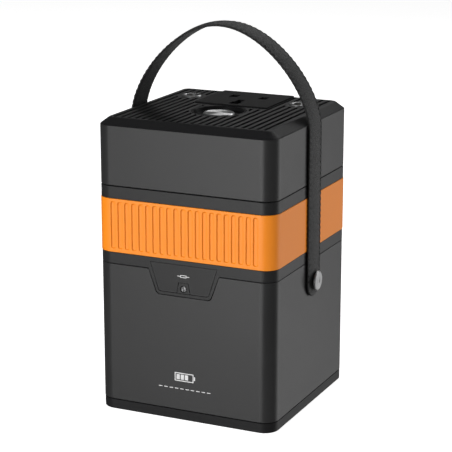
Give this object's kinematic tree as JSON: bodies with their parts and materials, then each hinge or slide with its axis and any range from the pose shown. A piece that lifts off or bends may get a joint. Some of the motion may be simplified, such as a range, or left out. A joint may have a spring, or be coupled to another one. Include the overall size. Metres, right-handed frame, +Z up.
{
  "type": "portable power station",
  "caption": "Square tower power station with ribbed lid, mains outlet, power button, two ports, orange grip band, front fuse door and a leather carrying strap that swings on side screws",
  "frame": {"origin": "on the ground under the middle of the tower, level with the undersides of the rubber feet", "axes": "+Z up, -Y towards the front with the fuse door, +X to the right seen from the front; the strap swings about X"},
  "size_m": [0.1406, 0.1306, 0.2618],
  "materials": {
    "graphite_shell": "fine spark-eroded satin grain, dark graphite grey",
    "black_plastic": "satin black moulding",
    "grip_orange": "smooth satin orange elastomer",
    "foot_rubber": "matt black",
    "strap_leather": "black pebbled leather, stitched along both margins",
    "spun_steel": "turned face with fine rings",
    "brass": "plain",
    "alloy": "extruded, plain",
    "circuit_board": "green solder mask",
    "cell_can": "blue shrink sleeve over a metal can",
    "wire_sheath": "red insulation",
    "fuse_glass": "clear tube",
    "winding": "taped copper winding on a ferrite core",
    "capacitor_can": "dark sleeve over a metal can"
  },
  "bodies": {
    "housing": {"base_cover": "black_plastic", "foot_front_left": "foot_rubber", "foot_front_right": "foot_rubber", "foot_back_left": "foot_rubber", "foot_back_right": "foot_rubber", "base_screw_front_left": "spun_steel", "base_screw_front_right": "spun_steel", "base_screw_back_left": "spun_steel", "base_screw_back_right": "spun_steel", "lower_housing": "graphite_shell", "middle_frame": "graphite_shell", "grip_band": "grip_orange", "upper_housing": "graphite_shell", "lid_panel": "black_plastic", "ac_outlet": "black_plastic", "outlet_contact_line": "brass", "outlet_contact_neutral": "brass", "outlet_contact_earth": "brass", "button_dish": "black_plastic", "power_switch": "black_plastic", "dc_port_left": "spun_steel", "dc_port_left_pin": "brass", "dc_port_right": "spun_steel", "dc_port_right_pin": "brass", "fuse_holder": "black_plastic", "fuse": "fuse_glass", "strap_screw_left": "spun_steel", "strap_screw_right": "spun_steel", "strap_insert_left": "brass", "strap_insert_right": "brass", "cell_1": "cell_can", "cell_2": "cell_can", "cell_3": "cell_can", "cell_4": "cell_can", "cell_5": "cell_can", "cell_6": "cell_can", "cell_7": "cell_can", "cell_8": "cell_can", "cell_9": "cell_can", "cell_10": "cell_can", "cell_11": "cell_can", "cell_12": "cell_can", "cell_holder_lower": "black_plastic", "cell_holder_upper": "black_plastic", "protection_board": "circuit_board", "board_tray": "black_plastic", "inverter_board": "circuit_board", "transformer": "winding", "heat_sink": "alloy", "capacitor_front": "capacitor_can", "capacitor_back": "capacitor_can", "battery_lead": "wire_sheath", "outlet_lead": "wire_sheath", "port_lead": "wire_sheath", "switch_lead": "wire_sheath", "fuse_lead": "wire_sheath"},
    "strap": {"carry_strap": "strap_leather"},
    "button": {"power_button": "spun_steel"},
    "door": {"fuse_door": "graphite_shell"},
    "door_screw": {"fuse_door_screw": "spun_steel"}
  },
  "joints": [
    {"name": "strap_swing", "type": "hinge", "parent": "housing", "child": "strap", "pos_m": [0, 0, 0.0901], "axis": [1, 0, 0], "range_deg": [-90, 90]},
    {"name": "button_press", "type": "slide", "parent": "housing", "child": "button", "axis": [0, 0, -1], "range_m": [0, 0.0015], "stiffness_N_per_m": 1300, "springref_m": -0.0005},
    {"name": "fuse_door_pull", "type": "slide", "parent": "housing", "child": "door", "axis": [0, -1, 0], "range_m": [0, 0.02]},
    {"name": "fuse_door_screw_turn", "type": "hinge", "parent": "door", "child": "door_screw", "pos_m": [0, -0.065, 0.0928], "axis": [0, -1, 0], "range_deg": [0, 810]}
  ]
}
